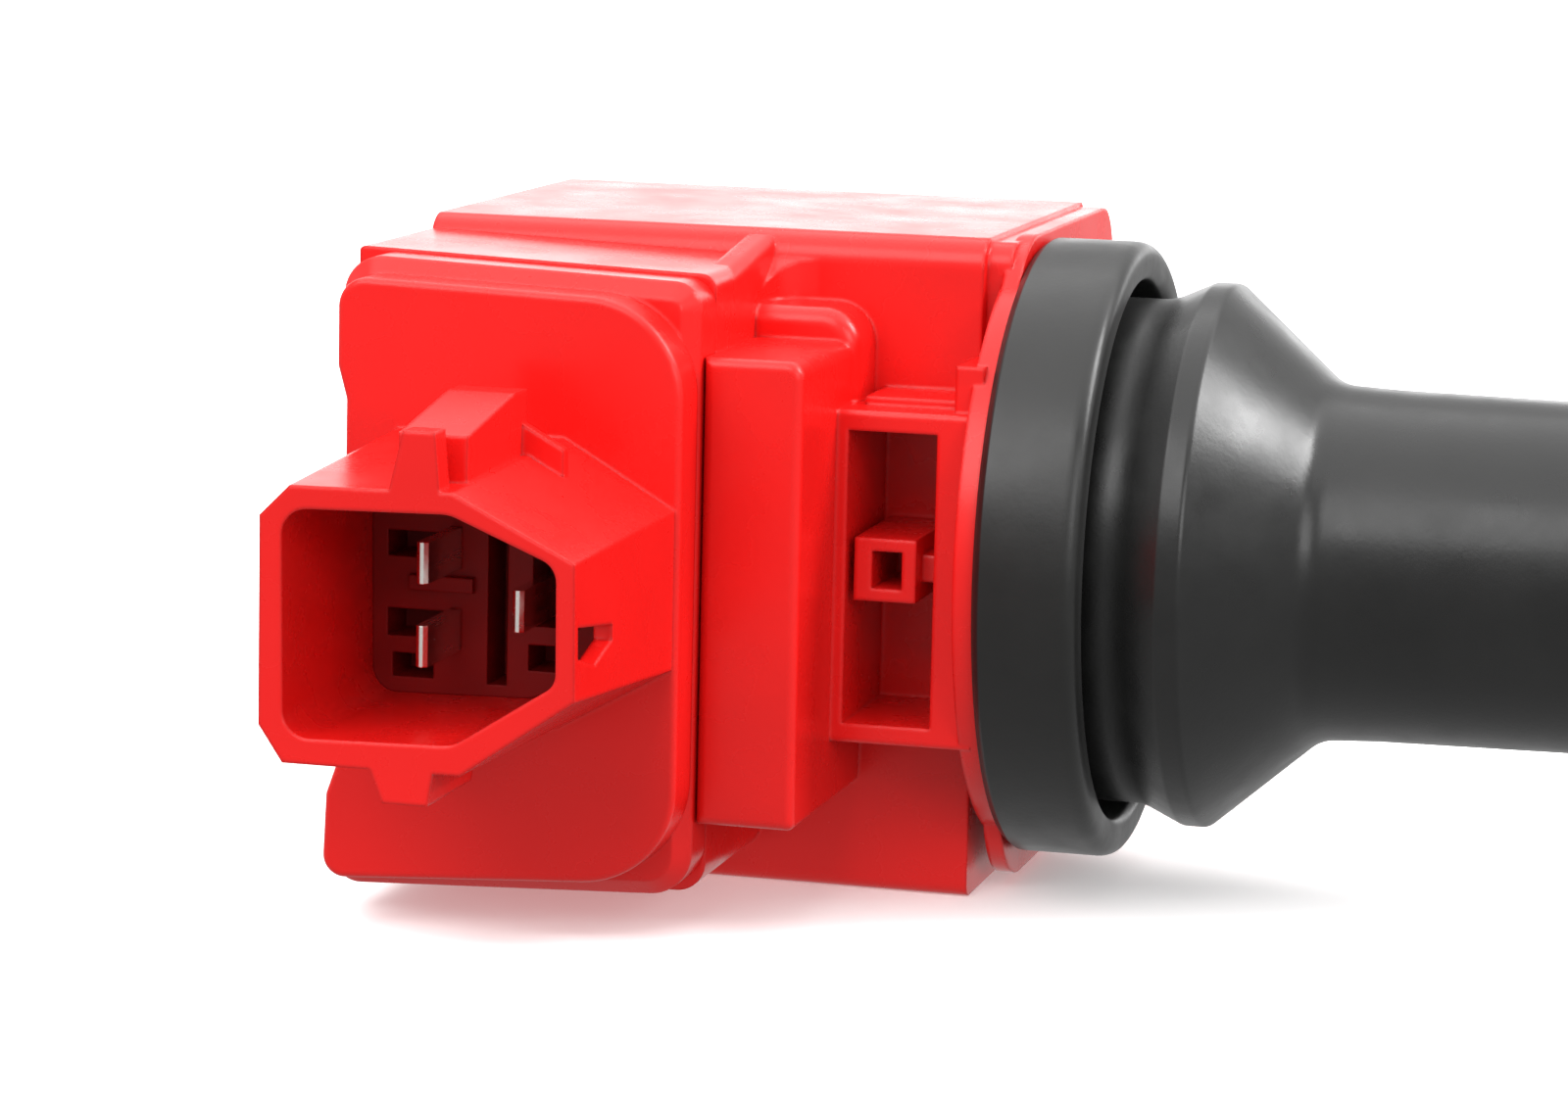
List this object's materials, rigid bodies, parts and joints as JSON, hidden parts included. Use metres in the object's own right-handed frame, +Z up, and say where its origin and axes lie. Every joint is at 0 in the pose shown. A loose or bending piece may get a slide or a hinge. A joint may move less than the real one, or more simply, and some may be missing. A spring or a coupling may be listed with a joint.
{
  "type": "plug-top ignition coil",
  "caption": "Car ignition coil that sits on a spark plug: moulded head with connector and bolt ear, seal ring, long sleeve and plug boot.",
  "frame": {"origin": "on the plug axis, where the seal ring enters the mouth of the plug well", "axes": "+X along the plug axis from the head to the spark plug, -Y out of the connector's mouth, +Z up as the coil lies on its side"},
  "size_m": [0.1533, 0.081, 0.0375],
  "materials": {
    "red_plastic": "satin gloss moulded red plastic",
    "dark_red_plastic": "satin moulded plastic",
    "bushing_steel": "zinc plated",
    "tin_plate": "bright tin plate",
    "black_package": "matt moulded epoxy",
    "tab_aluminium": "satin",
    "core_steel": "stacked silicon steel",
    "magnet_ferrite": "sintered magnet",
    "pad_rubber": "soft matt",
    "bobbin_plastic": "natural filled plastic",
    "copper_wire": "enamelled copper",
    "fine_copper_wire": "fine enamelled copper",
    "brass_cup": "pressed brass",
    "resistor_ceramic": "unglazed ceramic",
    "spring_steel": "drawn spring wire",
    "contact_steel": "nickel plated",
    "seal_rubber": "semi-matt moulded rubber",
    "sleeve_rubber": "semi-matt moulded rubber",
    "guide_plastic": "glass filled plastic",
    "boot_rubber": "soft silicone",
    "potting_resin": "cast epoxy"
  },
  "bodies": {
    "coil": {"coil_case": "red_plastic", "connector_plate": "red_plastic", "terminal_carrier": "dark_red_plastic", "ear_bushing": "bushing_steel", "terminal_supply": "tin_plate", "terminal_ground": "tin_plate", "terminal_trigger": "tin_plate", "igniter_module": "black_package", "igniter_heat_tab": "tab_aluminium", "igniter_leads": "tin_plate", "core_bar": "core_steel", "core_frame": "core_steel", "core_magnet": "magnet_ferrite", "core_pads": "pad_rubber", "primary_bobbin": "bobbin_plastic", "primary_winding": "copper_wire", "secondary_bobbin": "bobbin_plastic", "secondary_winding": "fine_copper_wire", "high_voltage_cup": "brass_cup", "noise_resistor": "resistor_ceramic", "resistor_caps": "brass_cup", "contact_spring": "spring_steel", "well_seal": "seal_rubber", "boot_sleeve": "sleeve_rubber", "spring_guide": "guide_plastic", "plug_boot": "boot_rubber", "potting_resin": "potting_resin", "chamber_resin": "potting_resin"},
    "contact": {"plug_contact": "contact_steel"}
  },
  "joints": [
    {"name": "contact_slide", "type": "slide", "parent": "coil", "child": "contact", "axis": [-1, 0, 0], "range_m": [0, 0.006], "stiffness_N_per_m": 500, "springref_m": -0.006, "deforming": ["contact_spring"]}
  ]
}
